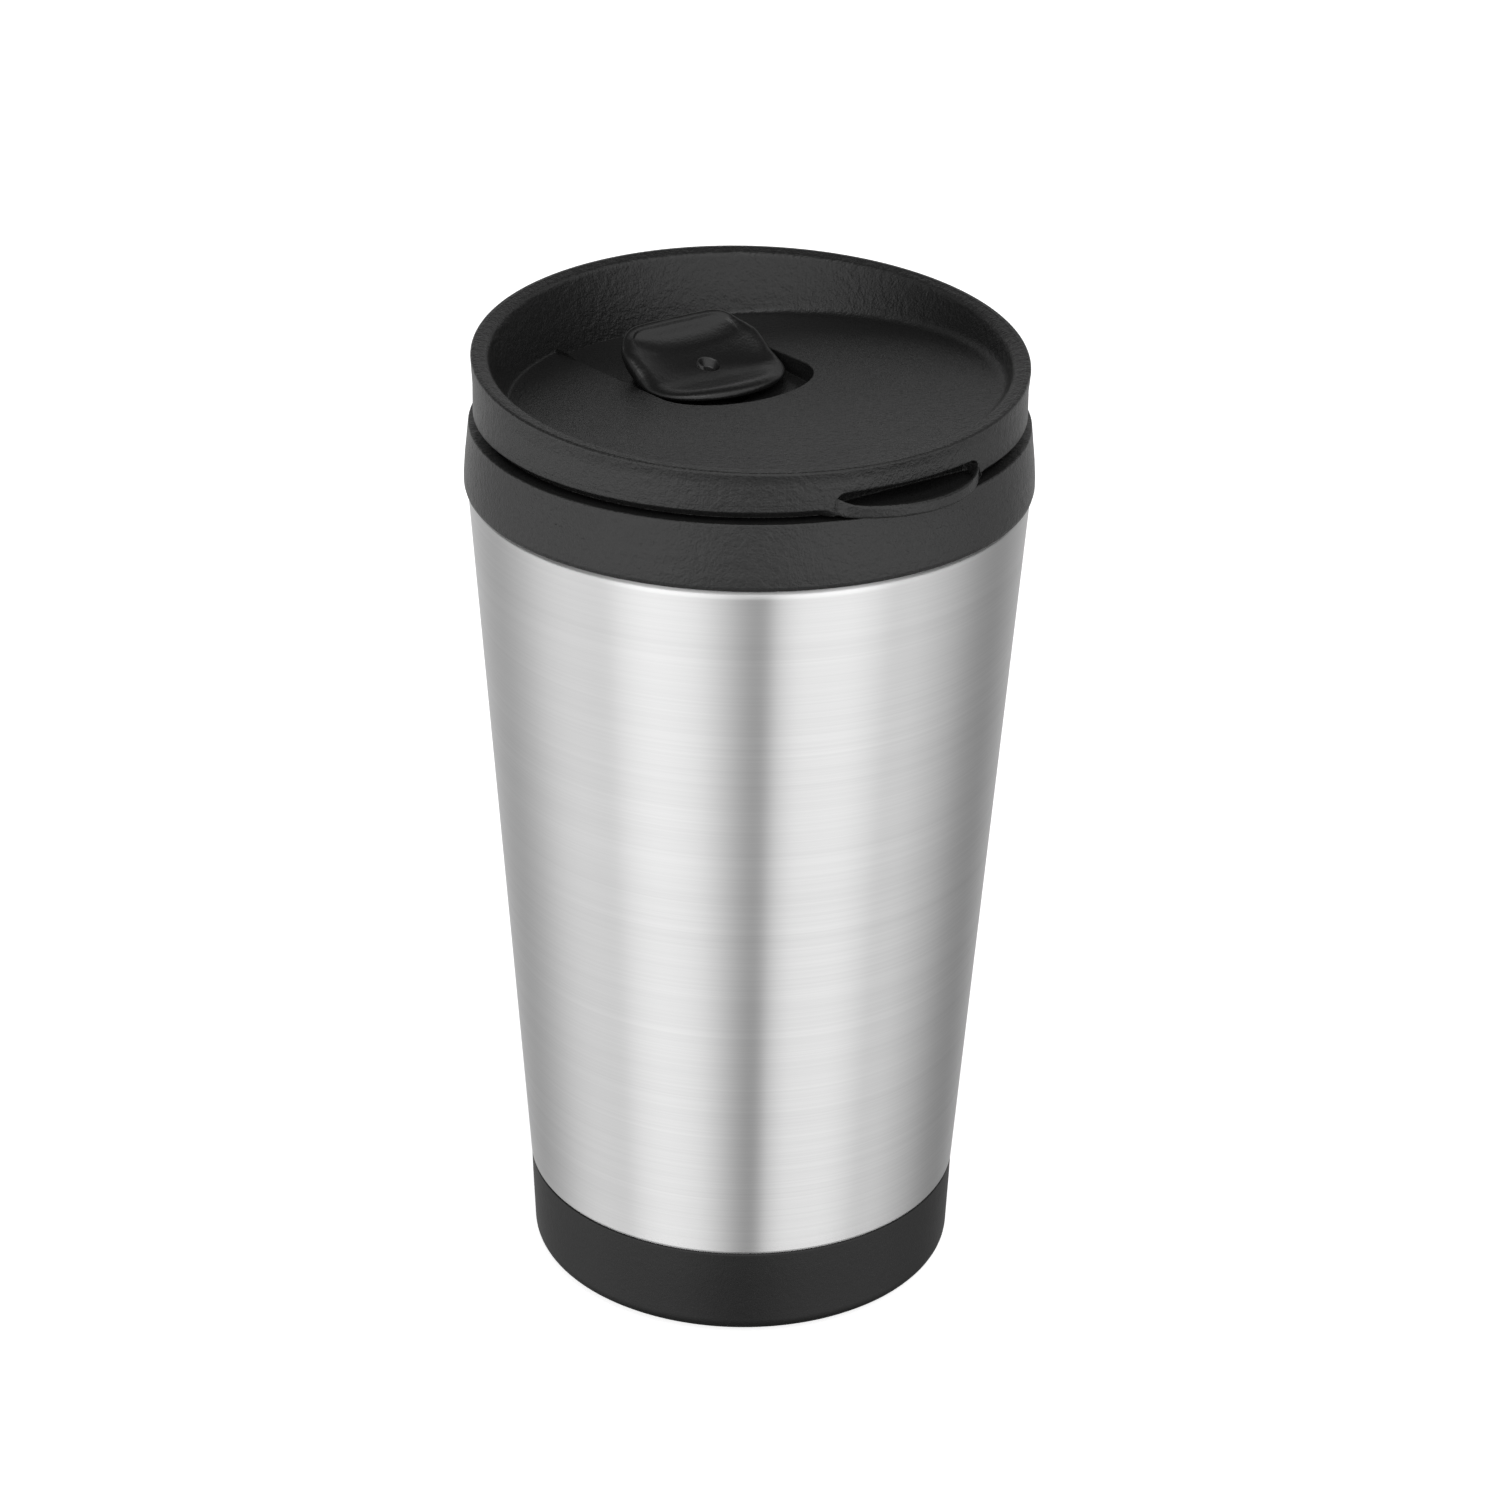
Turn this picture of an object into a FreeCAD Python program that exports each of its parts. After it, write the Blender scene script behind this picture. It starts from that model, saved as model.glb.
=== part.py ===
import FreeCAD, Part
import math
import os

# Insulated travel mug: a tapered steel body with a black collar and base cup, closed by a push-in lid
# that has a thumb slide over its drinking hole.
# Millimetres. Origin at the centre of the underside, +Z up, the lid's lift tab towards -Y,
# the drinking side towards +Y.

# ---- steel body
SHELL_TOP_Z = 132.3        # where the visible steel ends, under the collar
SHELL_TOP_R = 43.0         # largest radius of the steel
SHELL_LOW_Z = 15.6         # where the visible steel begins, above the base cup
SHELL_LOW_R = 34.45
STEEL_T = 0.6              # wall thickness of shell and liner
NECK_R = 41.1              # outside of the shell's neck, inside the collar
NECK_TOP_Z = 140.6
TAIL_R = 32.9              # outside of the shell's tail, inside the base cup
TAIL_Z = 3.6

# ---- steel liner
MOUTH_R = 39.3             # inside of the liner's mouth
LINER_LOW_R = 30.6         # inside radius near the bottom
LINER_FLOOR_Z = 9.0        # inside floor of the drink space
LINER_CORNER = 7.0

# ---- collar
COLLAR_TOP_Z = 142.65
COLLAR_MAX_R = 43.42       # near the collar's foot
COLLAR_TOP_R = 42.6
COLLAR_IN_R = 39.6
COLLAR_FOOT_ROUND = 0.75
SEAL_T = 0.5               # flat seal between collar and liner lip

# ---- base cup and foot pad
BASE_TOP_Z = 15.3
BASE_TOP_R = 34.4
BASE_LOW_R = 33.8
BASE_CORNER = 2.4
BASE_LIFT = 0.3            # the cup stands this far off the table on its pad
PAD_R = 26.0
PAD_TOP_Z = 1.4

# ---- lid
LID_R = 42.2               # outside of the lid wall, at the rim
LID_LOW_Z = 144.05         # underside of the lid wall
STEP_R = 40.5              # recessed step that stands over the collar
STEP_Z = 142.85
PLUG_R = 38.0              # skirt that enters the liner
PLUG_Z = 133.5
PLUG_IN_R = 35.8
GROOVE_R = 37.1            # floor of the seal's groove round the plug
GROOVE_Z0 = 136.4
GROOVE_Z1 = 139.4
RIM_Z = 152.93             # height of the drinking rim on the axis
RIM_RISE_X = 0.0225        # rise of the rim towards +X, per mm
RIM_RISE_Y = 0.061         # rise of the rim towards the drinking side, per mm
RIM_IN_R = 39.6            # inside edge of the rim
TRAY_Z = 147.4             # height of the tray floor on the axis
TRAY_RISE_X = 0.0235
TRAY_RISE_Y = -0.054       # the tray drains towards the drinking side
TRAY_R = 37.4
TRAY_Y = -1.3
TRAY_T = 2.0

# ---- slot in the tray for the slide
SLOT_Z = 144.5             # floor of the slot
SLOT_HALF = 13.0           # half width
SLOT_END_Y = 4.6           # where the rounded end begins
SLOT_END_LEN = 10.2        # depth of the rounded end
SLOT_FLOOR_T = 1.8
SLOT_WALL = 1.8
HOLE_Y0 = 15.0             # drinking hole
HOLE_Y1 = 19.4
HOLE_HALF = 6.5
HOLE_CORNER = 2.1
GUIDE_Y0 = 2.3             # guide slot that the slide's leg runs in
GUIDE_Y1 = 13.2
GUIDE_HALF = 2.2
GUIDE_CORNER = 2.1

# ---- lift tab
TAB_Y = -29.4              # centre of the tab's outline
TAB_R = 16.7
TAB_Z0 = 143.0
TAB_Z1 = 145.0
POCKET_Z0 = 144.15         # floor and roof of the finger pocket
POCKET_Z1 = 146.4
POCKET_Y = -38.0           # inner wall of the finger pocket
POCKET_MID_Y = -27.0       # centre and radius of the pocket's outline
POCKET_R = 18.0

# ---- thumb slide
SLIDE_HALF = 12.3          # half width
SLIDE_FRONT = 1.2          # front tip, towards the tab
SLIDE_FRONT_LEN = 9.6      # depth of the rounded front
SLIDE_BACK = 21.4
SLIDE_CORNER = 6.5         # plan radius of the back corners
SLIDE_SKIRT_Z = 145.75     # lower edge of the slide's border at the front
SLIDE_BORDER = 2.5         # border that overhangs the block under it, at the front and sides
SLIDE_BACK_BORDER = 0.4
BLOCK_CORNER = 5.0
SLIDE_TOP = 152.4          # crest of the thumb ridge
SLIDE_GAP = 0.25           # above the slot floor
PAD_HALF = 7.6             # sealing pad let into the slide's underside
PAD_Y0 = 14.4
PAD_Y1 = 19.9
PAD_CORNER = 2.6
PAD_GAP = 0.1
PAD_ROOF = 145.9
PAD_FIT = 0.1              # room round the pad in its recess
DIMPLE_X = 0.6             # small dimple in the thumb scoop
DIMPLE_Y = 12.4
DIMPLE_Z = 146.5
LEG_Y = 10.8
LEG_R = 2.1
CLIP_Z0 = 141.0            # retaining clip under the lid
CLIP_Z1 = 142.4
CLIP_HOLE_R = 1.6
CLIP_HALF = 6.5
CLIP_Y0 = 7.0              # the clip's plate ends short of the drinking hole
CLIP_Y1 = 13.8
HUB_R = 3.2
PEG_TAIL = 0.6             # peg and hub stand this far below the plate


def vec(x, y, z):
    return FreeCAD.Vector(x, y, z)


def turned(points):
    """Solid of revolution about Z from a closed outline of (radius, height) points."""
    corners = [vec(r, 0, z) for r, z in points]
    wire = Part.makePolygon(corners + [corners[0]])
    return Part.Face(wire).revolve(vec(0, 0, 0), vec(0, 0, 1), 360)


def arc(cx, cz, radius, start, end, steps):
    """Points on an arc of a turned outline, angles in degrees."""
    out = []
    for i in range(steps + 1):
        a = math.radians(start + (end - start) * i / steps)
        out.append((cx + radius * math.cos(a), cz + radius * math.sin(a)))
    return out


def disc(radius, z0, z1, y=0.0):
    return Part.makeCylinder(radius, z1 - z0, vec(0, y, z0))


def above_plane(z_axis, rise_x, rise_y, height):
    """Everything above a tilted plane, as a slab of the given height."""
    half = 70.0
    base = []
    for sx, sy in ((-1, -1), (1, -1), (1, 1), (-1, 1)):
        x = sx * half
        y = sy * half
        base.append(vec(x, y, z_axis + rise_x * x + rise_y * y))
    face = Part.Face(Part.makePolygon(base + [base[0]]))
    return face.extrude(vec(0, 0, height))


def capsule_plan(half, y_start, y_end, front_len, z0, z1):
    """Straight-sided outline whose front end, towards -Y, is half an ellipse."""
    ellipse = Part.Ellipse(vec(0, y_start, z0), half, front_len)
    front = Part.ArcOfEllipse(ellipse, math.pi, 2 * math.pi).toShape()
    a = vec(half, y_start, z0)
    b = vec(half, y_end, z0)
    c = vec(-half, y_end, z0)
    d = vec(-half, y_start, z0)
    sides = [Part.makeLine(a, b), Part.makeLine(b, c), Part.makeLine(c, d)]
    wire = Part.Wire(Part.__sortEdges__([front] + sides))
    return Part.Face(wire).extrude(vec(0, 0, z1 - z0))


def rounded_slot(half_x, y0, y1, radius, z0, z1):
    """Upright hole cutter with rounded corners."""
    box = Part.makeBox(2 * half_x, y1 - y0, z1 - z0, vec(-half_x, y0, z0))
    uprights = [e for e in box.Edges if abs(e.Vertexes[0].Z - e.Vertexes[1].Z) > 0.1]
    return box.makeFillet(radius, uprights)


def shell_radius(z):
    slope = (SHELL_TOP_R - SHELL_LOW_R) / (SHELL_TOP_Z - SHELL_LOW_Z)
    return SHELL_LOW_R + slope * (z - SHELL_LOW_Z)


def outer_shell():
    t = STEEL_T
    top = SHELL_TOP_Z
    low = SHELL_LOW_Z
    shoulder = arc(shell_radius(top - 0.7) - 0.7, top - 0.7, 0.7, 0, 90, 5)
    skin = [(TAIL_R, TAIL_Z), (TAIL_R, low - 0.3), (SHELL_LOW_R - 0.3, low - 0.3), (SHELL_LOW_R, low)]
    skin = skin + shoulder + [(NECK_R, top), (NECK_R, NECK_TOP_Z)]
    inside = [(NECK_R - t, NECK_TOP_Z), (NECK_R - t, top - t), (shell_radius(top) - 1.0, top - t)]
    inside = inside + [(SHELL_LOW_R - t, low + 0.4), (TAIL_R - t, low + 0.2), (TAIL_R - t, TAIL_Z)]
    return turned(skin + inside)


def shell_bottom():
    r = TAIL_R - STEEL_T - 0.02
    rim = [(r, TAIL_Z), (r, TAIL_Z + 3.0), (r - STEEL_T, TAIL_Z + 3.0)]
    dish = [(r - STEEL_T, TAIL_Z + STEEL_T), (r - 6.0, TAIL_Z + STEEL_T), (r - 9.0, TAIL_Z + 1.6)]
    under = [(0, TAIL_Z + 1.6), (0, TAIL_Z + 1.0), (r - 8.8, TAIL_Z + 1.0), (r - 5.8, TAIL_Z)]
    return turned(rim + dish + under)


def inner_liner():
    t = STEEL_T
    floor = LINER_FLOOR_Z
    corner = LINER_CORNER
    low = LINER_LOW_R
    inner = [(0, floor)] + arc(low - corner, floor + corner, corner, -90, 0, 6)
    inner = inner + [(MOUTH_R, 128.0), (MOUTH_R, NECK_TOP_Z + t)]
    lip = [(NECK_R - 0.1, NECK_TOP_Z + t), (NECK_R - 0.1, NECK_TOP_Z), (MOUTH_R + t, NECK_TOP_Z)]
    outer = [(MOUTH_R + t, 128.0)] + arc(low - corner, floor + corner, corner + t, 0, -90, 6)
    return turned(inner + lip + outer + [(0, floor - t)])


def collar_ring():
    low = SHELL_TOP_Z + 0.05
    top = COLLAR_TOP_Z
    under_top = NECK_TOP_Z + STEEL_T + SEAL_T
    inside_r = NECK_R + 0.05
    turn = COLLAR_FOOT_ROUND
    foot = [(inside_r, low)] + arc(COLLAR_MAX_R - turn, low + turn, turn, -90, 0, 5)
    flank = [(COLLAR_MAX_R - 0.02, low + 1.6), (COLLAR_MAX_R - 0.22, low + 4.9)]
    flank = flank + [(COLLAR_TOP_R + 0.25, top - 2.4)]
    crown = arc(COLLAR_TOP_R - 0.3, top - 0.35, 0.35, 10, 90, 4)
    bore = [(COLLAR_IN_R + 0.4, top), (COLLAR_IN_R, top - 0.4)]
    rebate = [(COLLAR_IN_R, under_top), (inside_r, under_top)]
    return turned(foot + flank + crown + bore + rebate)


def collar_seal():
    z0 = NECK_TOP_Z + STEEL_T
    return turned([(40.0, z0), (40.95, z0), (40.95, z0 + SEAL_T), (40.0, z0 + SEAL_T)])


def base_cup():
    inside_r = TAIL_R + 0.05
    corner = arc(BASE_LOW_R - BASE_CORNER, BASE_LIFT + BASE_CORNER, BASE_CORNER, -90, 0, 7)
    outside = [(PAD_R + 0.1, BASE_LIFT)] + corner
    outside = outside + [(BASE_TOP_R, BASE_TOP_Z - 0.3), (BASE_TOP_R - 0.3, BASE_TOP_Z)]
    tail_room = [(inside_r, BASE_TOP_Z), (inside_r, 3.56), (0, 3.56)]
    recess = [(0, PAD_TOP_Z), (PAD_R + 0.1, PAD_TOP_Z)]
    return turned(outside + tail_room + recess)


def foot_pad():
    pad = disc(PAD_R, 0, PAD_TOP_Z)
    return pad.makeFillet(0.4, [e for e in pad.Edges if abs(e.BoundBox.ZMax) < 0.01])


def tray_cavity():
    """The hollow above the tray floor, from an off-centre circle on the floor to the rim's inside edge."""
    floor_n = vec(-TRAY_RISE_X, -TRAY_RISE_Y, 1)
    rim_n = vec(-RIM_RISE_X, -RIM_RISE_Y, 1)
    floor_c = vec(0, TRAY_Y, TRAY_Z + TRAY_RISE_Y * TRAY_Y)
    low = Part.Wire([Part.makeCircle(TRAY_R, floor_c, floor_n)])
    high = Part.Wire([Part.makeCircle(RIM_IN_R, vec(0, 0, RIM_Z), rim_n)])
    cup = Part.makeLoft([low, high], True, True)
    above_rim = Part.Face(high).extrude(vec(0, 0, 6))
    return cup.fuse(above_rim)


def slot_cutter():
    """The slot's hollow, up to the wall on the drinking side."""
    room = capsule_plan(SLOT_HALF, SLOT_END_Y, 45.0, SLOT_END_LEN, SLOT_Z, TRAY_Z + 4.0)
    return room.common(disc(TRAY_R - 0.3, SLOT_Z, TRAY_Z + 4.0, TRAY_Y))


def lift_tab():
    tab = disc(TAB_R, TAB_Z0, TAB_Z1, TAB_Y)
    rims = [e for e in tab.Edges if e.BoundBox.XLength > TAB_R]
    tab = tab.makeFillet(0.6, rims)
    return tab.cut(disc(STEP_R, TAB_Z0 - 1, TAB_Z1 + 1))


def lid_body():
    wall = [(0, PLUG_Z), (PLUG_R - 0.6, PLUG_Z), (PLUG_R, PLUG_Z + 1.0), (PLUG_R, GROOVE_Z0)]
    wall = wall + [(GROOVE_R, GROOVE_Z0), (GROOVE_R, GROOVE_Z1), (PLUG_R, GROOVE_Z1), (PLUG_R, STEP_Z)]
    wall = wall + [(STEP_R, STEP_Z), (STEP_R, LID_LOW_Z)]
    skirt = [(LID_R - 0.55, LID_LOW_Z), (LID_R - 0.25, LID_LOW_Z + 0.3), (LID_R - 0.3, 148.4), (LID_R, 151.6)]
    body = turned(wall + skirt + [(LID_R, 158.0), (0, 158.0)])
    body = body.fuse(lift_tab())
    rim = above_plane(RIM_Z, RIM_RISE_X, RIM_RISE_Y, 12.0)
    body = body.cut(rim)
    under = disc(PLUG_IN_R, PLUG_Z - 1, 152.0)
    under = under.cut(above_plane(TRAY_Z - TRAY_T, TRAY_RISE_X, TRAY_RISE_Y, 12.0))
    tub_low = SLOT_Z - SLOT_FLOOR_T
    tub = capsule_plan(SLOT_HALF + SLOT_WALL, SLOT_END_Y, 45.0, SLOT_END_LEN + SLOT_WALL, tub_low, 152.0)
    under = under.cut(tub)
    body = body.cut(under)
    body = body.cut(tray_cavity())
    edges = [e for e in body.Edges if e.BoundBox.ZMax > 155.0 and e.BoundBox.XLength > 60]
    body = body.makeChamfer(0.45, edges)
    body = body.cut(slot_cutter())
    body = body.cut(rounded_slot(HOLE_HALF, HOLE_Y0, HOLE_Y1, HOLE_CORNER, 140.0, 146.0))
    body = body.cut(rounded_slot(GUIDE_HALF, GUIDE_Y0, GUIDE_Y1, GUIDE_CORNER, 140.0, 146.0))
    pocket = disc(POCKET_R, POCKET_Z0, POCKET_Z1, POCKET_MID_Y)
    front = Part.makeBox(80, 30, 20, vec(-40, POCKET_Y - 30, 138))
    return body.cut(pocket.common(front))


def lid_seal_ring():
    inner_r = GROOVE_R + 0.02
    low = GROOVE_Z0 + 0.05
    base = [(inner_r, low), (PLUG_R, low), (PLUG_R + 0.5, low + 0.15), (PLUG_R + 1.0, 137.4)]
    fins = [(PLUG_R + 0.3, 137.5), (PLUG_R + 0.3, 138.0), (PLUG_R + 1.0, 138.8), (PLUG_R + 0.4, 139.2)]
    return turned(base + fins + [(PLUG_R, GROOVE_Z1 - 0.05), (inner_r, GROOVE_Z1 - 0.05)])


def slide_top():
    """Upper side outline of the thumb slide, front to back: lip, thumb scoop and ridge, as (y, z)."""
    front = [(SLIDE_FRONT - 2, 147.0), (SLIDE_FRONT + 1.2, 147.05), (6.0, 146.75), (8.5, 146.7)]
    scoop = [(10.5, 146.8), (12.4, 147.1), (14.0, 147.6), (15.5, 148.2), (17.3, 149.0)]
    ridge = [(18.2, 149.65), (19.0, 150.5), (19.7, 151.4), (20.2, 151.95), (20.6, 152.25)]
    return front + scoop + ridge + [(SLIDE_BACK - 0.4, SLIDE_TOP), (SLIDE_BACK, SLIDE_TOP - 0.2)]


def slide_prism(under):
    """The slide's side outline, closed below by the given (y, z) points, as wide as the slot and more."""
    outline = [vec(-30, y, z) for y, z in slide_top() + under]
    return Part.Face(Part.makePolygon(outline + [outline[0]])).extrude(vec(60, 0, 0))


def slide_plan(inset, back_inset, corner, z0, z1):
    """The slide's outline moved inwards, with its two back corners rounded."""
    straight_y = SLIDE_FRONT + SLIDE_FRONT_LEN
    back = SLIDE_BACK - back_inset
    plan = capsule_plan(SLIDE_HALF - inset, straight_y, back, SLIDE_FRONT_LEN - inset, z0, z1)
    corners = [e for e in plan.Edges if e.BoundBox.ZLength > z1 - z0 - 0.1 and e.BoundBox.YMin > back - 0.5]
    return plan.makeFillet(corner, corners)


def slider():
    low = SLOT_Z + SLIDE_GAP
    front = SLIDE_FRONT - 2
    under_ridge = [(SLIDE_BACK, 149.7), (18.5, 149.0), (16.5, 147.7), (14.8, 146.9), (12.6, 146.15)]
    under_plate = under_ridge + [(10.0, SLIDE_SKIRT_Z), (front, SLIDE_SKIRT_Z)]
    body = slide_prism(under_plate).common(slide_plan(0, 0, SLIDE_CORNER, SLIDE_SKIRT_Z, 153.0))
    block = slide_plan(SLIDE_BORDER, SLIDE_BACK_BORDER, BLOCK_CORNER, low, 153.0)
    block = block.common(slide_prism([(SLIDE_BACK, low), (front, low)]))
    body = body.fuse(block)
    fit = PAD_FIT
    pad_room = rounded_slot(PAD_HALF + fit, PAD_Y0 - fit, PAD_Y1 + fit, PAD_CORNER + fit, 144.0, PAD_ROOF)
    body = body.cut(pad_room)
    moulding_room = rounded_slot(6.5, 6.2, 13.4, 2.5, 144.0, 145.6)
    body = body.cut(moulding_room)
    dimple = Part.makeCylinder(1.5, 3.0, vec(DIMPLE_X, DIMPLE_Y, DIMPLE_Z))
    body = body.cut(dimple)
    leg = disc(LEG_R, CLIP_Z1 + 0.02, 146.2, LEG_Y)
    peg = disc(CLIP_HOLE_R, CLIP_Z0 - PEG_TAIL, CLIP_Z1 + 0.1, LEG_Y)
    return body.fuse([leg, peg]).removeSplitter()


def slider_seal():
    return rounded_slot(PAD_HALF, PAD_Y0, PAD_Y1, PAD_CORNER, SLOT_Z + PAD_GAP, PAD_ROOF - 0.02)


def slider_clip():
    plate = rounded_slot(CLIP_HALF, CLIP_Y0, CLIP_Y1, 2.0, CLIP_Z0, CLIP_Z1)
    hub = disc(HUB_R, CLIP_Z0 - PEG_TAIL, CLIP_Z1, LEG_Y)
    return plate.fuse(hub).cut(disc(CLIP_HOLE_R + 0.02, 138, 146, LEG_Y)).removeSplitter()


PIECES = {
    "outer_shell": outer_shell,
    "shell_bottom": shell_bottom,
    "inner_liner": inner_liner,
    "collar_ring": collar_ring,
    "collar_seal": collar_seal,
    "base_cup": base_cup,
    "foot_pad": foot_pad,
    "lid_body": lid_body,
    "lid_seal_ring": lid_seal_ring,
    "slider": slider,
    "slider_seal": slider_seal,
    "slider_clip": slider_clip,
}

os.makedirs("parts", exist_ok=True)
for name, make in PIECES.items():
    shape = make()
    shape.exportStep("parts/" + name + ".step")
    print(name, shape.isValid(), len(shape.Solids), round(shape.Volume))
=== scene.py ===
import math

import bmesh
import bpy
import numpy as np
from mathutils import Matrix, Vector


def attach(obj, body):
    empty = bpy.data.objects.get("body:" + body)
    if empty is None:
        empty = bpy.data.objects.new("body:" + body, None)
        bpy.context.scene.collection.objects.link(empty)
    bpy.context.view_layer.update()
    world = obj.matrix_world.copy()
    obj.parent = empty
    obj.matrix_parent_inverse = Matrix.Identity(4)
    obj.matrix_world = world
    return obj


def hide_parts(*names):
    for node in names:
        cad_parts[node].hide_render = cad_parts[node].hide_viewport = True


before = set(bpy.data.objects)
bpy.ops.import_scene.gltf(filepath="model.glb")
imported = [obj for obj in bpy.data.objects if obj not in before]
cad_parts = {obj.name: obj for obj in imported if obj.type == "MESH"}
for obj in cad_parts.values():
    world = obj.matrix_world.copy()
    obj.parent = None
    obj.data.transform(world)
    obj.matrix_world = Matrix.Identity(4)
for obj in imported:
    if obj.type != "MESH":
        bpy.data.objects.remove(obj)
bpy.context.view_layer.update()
scene = bpy.context.scene

# Lengths in the shape code are millimetres in the part's own frame: +Z up, lift tab towards -Y.
MM = 0.001
WELD = 0.0015              # points closer than this are merged
SEGMENTS = 240             # round a turned piece


# ---------------------------------------------------------------- mesh helpers

def rounded(corners, steps=5, support=0.2, closed=False):
    """Polyline through corners of (point, fillet radius), with true arcs and two support points on each
    straight run. Every corner gives the same number of points, so outlines can be skinned together."""
    pts = [np.asarray(p, float) for p, _ in corners]
    radii = [r for _, r in corners]
    n = len(pts)
    out = []
    ends = []
    for i in range(n):
        if not closed and i in (0, n - 1):
            ends.append((pts[i], pts[i], None))
            continue
        a = pts[i - 1] - pts[i]
        b = pts[(i + 1) % n] - pts[i]
        la = np.linalg.norm(a)
        lb = np.linalg.norm(b)
        if la < 1e-6 or lb < 1e-6:
            ends.append((pts[i], pts[i], 1.0))
            continue
        a = a / la
        b = b / lb
        inner = math.acos(max(-1.0, min(1.0, float(a @ b))))
        half = inner / 2
        reach = min(radii[i] / max(math.tan(half), 1e-3), 0.45 * la, 0.45 * lb)
        ends.append((pts[i] + a * reach, pts[i] + b * reach, math.sin(half)))
    runs = n if closed else n - 1
    for i in range(n):
        start, stop, weight = ends[i]
        if weight is None:
            out.append(pts[i])
        else:
            for k in range(steps + 1):
                u = k / steps
                w0 = (1 - u) ** 2
                w1 = 2 * u * (1 - u) * weight
                w2 = u * u
                out.append((w0 * start + w1 * pts[i] + w2 * stop) / (w0 + w1 + w2))
        if i < runs:
            nxt = ends[(i + 1) % n][0]
            gap = nxt - stop
            length = np.linalg.norm(gap)
            share = min(support / length, 0.33) if length > 1e-9 else 0.33
            out.append(stop + gap * share)
            out.append(stop + gap * (1 - share))
    return np.array(out)


def make_object(name, bm, body, nodes, material, smooth_angle=40):
    """Finishes a mesh built in millimetres and hands it to the frame."""
    bmesh.ops.remove_doubles(bm, verts=bm.verts, dist=WELD)
    bmesh.ops.dissolve_degenerate(bm, dist=WELD, edges=bm.edges)
    bmesh.ops.recalc_face_normals(bm, faces=bm.faces)
    bmesh.ops.scale(bm, vec=(MM, MM, MM), verts=bm.verts)
    limit = math.radians(smooth_angle)
    for face in bm.faces:
        face.smooth = True
    for edge in bm.edges:
        if len(edge.link_faces) == 2 and edge.calc_face_angle(0.0) > limit:
            edge.smooth = False
    mesh = bpy.data.meshes.new(name)
    bm.to_mesh(mesh)
    bm.free()
    mesh.materials.append(material)
    obj = bpy.data.objects.new(name, mesh)
    scene.collection.objects.link(obj)
    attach(obj, body)
    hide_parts(*nodes)
    return obj


def skin(bm, rows, wrap_rows=False, wrap_cols=False):
    """Quads between equally long rows of vertices."""
    count = len(rows)
    width = len(rows[0])
    for i in range(count if wrap_rows else count - 1):
        above = rows[i]
        below = rows[(i + 1) % count]
        for j in range(width if wrap_cols else width - 1):
            k = (j + 1) % width
            quad = (above[j], above[k], below[k], below[j])
            if len(set(quad)) == 4:
                bm.faces.new(quad)


def add_row(bm, points):
    return [bm.verts.new(tuple(p)) for p in points]


def lathe(profile, segments=SEGMENTS, closed=True):
    """Solid of revolution from (radius, height) points."""
    bm = bmesh.new()
    rows = []
    for i in range(segments):
        a = 2 * math.pi * i / segments
        rows.append(add_row(bm, [(r * math.cos(a), r * math.sin(a), z) for r, z in profile]))
    skin(bm, rows, wrap_rows=True, wrap_cols=closed)
    return bm


def lathe_corners(corners, steps=5, support=0.2):
    """Closed outline of (radius, height, fillet) corners, as a solid of revolution."""
    return lathe(rounded([((r, z), f) for r, z, f in corners], steps, support, closed=True))


def quarter_turn(steps):
    """Angles from 0 to 90 degrees, in equal steps."""
    return [math.pi / 2 * k / steps for k in range(steps + 1)]


def circle(radius, count):
    """Points round a circle at the origin."""
    turns = [2 * math.pi * k / count for k in range(count)]
    return [(radius * math.cos(a), radius * math.sin(a)) for a in turns]


def fill_loops(bm, loops):
    """Flat face over an outer loop of vertices, with further loops as holes."""
    edges = []
    for loop, is_closed in loops:
        for j in range(len(loop) if is_closed else len(loop) - 1):
            a = loop[j]
            b = loop[(j + 1) % len(loop)]
            if a is b:
                continue
            edge = bm.edges.get((a, b)) or bm.edges.new((a, b))
            edges.append(edge)
    bmesh.ops.triangle_fill(bm, use_beauty=True, use_dissolve=False, edges=list(set(edges)))


# ---------------------------------------------------------------- materials

def new_material(name):
    material = bpy.data.materials.new(name)
    material.use_nodes = True
    nodes = material.node_tree.nodes
    nodes.clear()
    out = nodes.new("ShaderNodeOutputMaterial")
    shader = nodes.new("ShaderNodeBsdfPrincipled")
    material.node_tree.links.new(shader.outputs[0], out.inputs[0])
    return material, shader


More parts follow.
